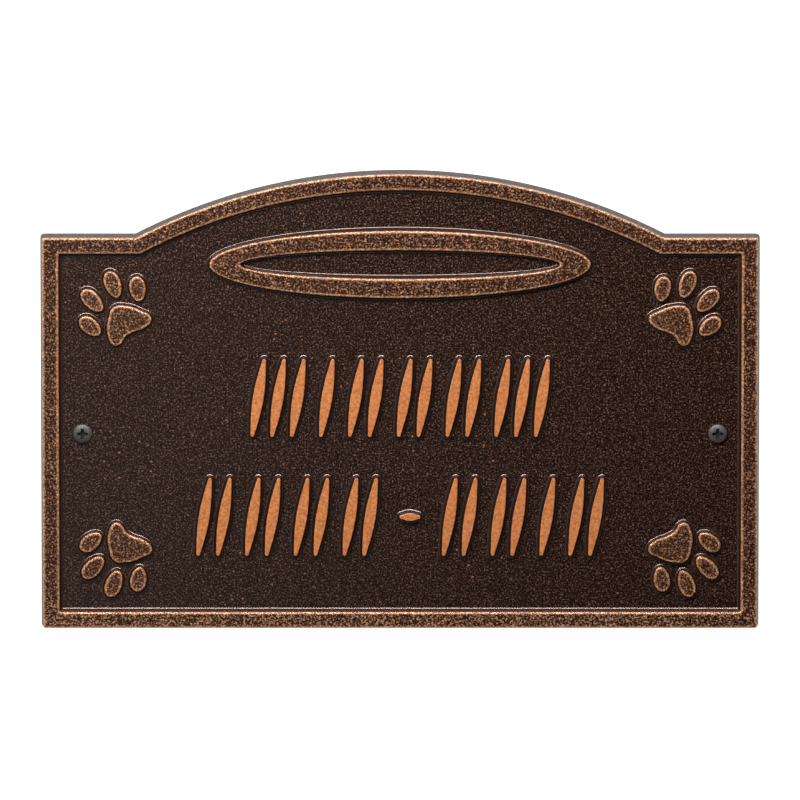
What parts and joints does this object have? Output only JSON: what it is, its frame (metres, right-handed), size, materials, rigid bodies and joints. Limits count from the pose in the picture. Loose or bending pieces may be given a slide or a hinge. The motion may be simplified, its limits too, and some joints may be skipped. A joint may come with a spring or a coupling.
{
  "type": "flat grave marker",
  "caption": "Flat cast-metal pet memorial plate with an arched top, raised border, halo ring, paw prints and raised strokes, fixed by cross-recessed screws.",
  "frame": {"origin": "on the flat back, under the middle of the marker's overall box", "axes": "the marker lies face up: +X along the rows, to the right as seen from above, +Y to the arched top, +Z out of the face"},
  "size_m": [0.3048, 0.1968, 0.008],
  "materials": {
    "dark_copper_coat": "oil-rubbed antique copper: dark pebbled coat with copper showing on raised faces and rims",
    "dull_screw_steel": "dull grey"
  },
  "bodies": {
    "root": {"plaque": "dark_copper_coat", "left_screw": "dull_screw_steel", "right_screw": "dull_screw_steel"}
  },
  "joints": []
}
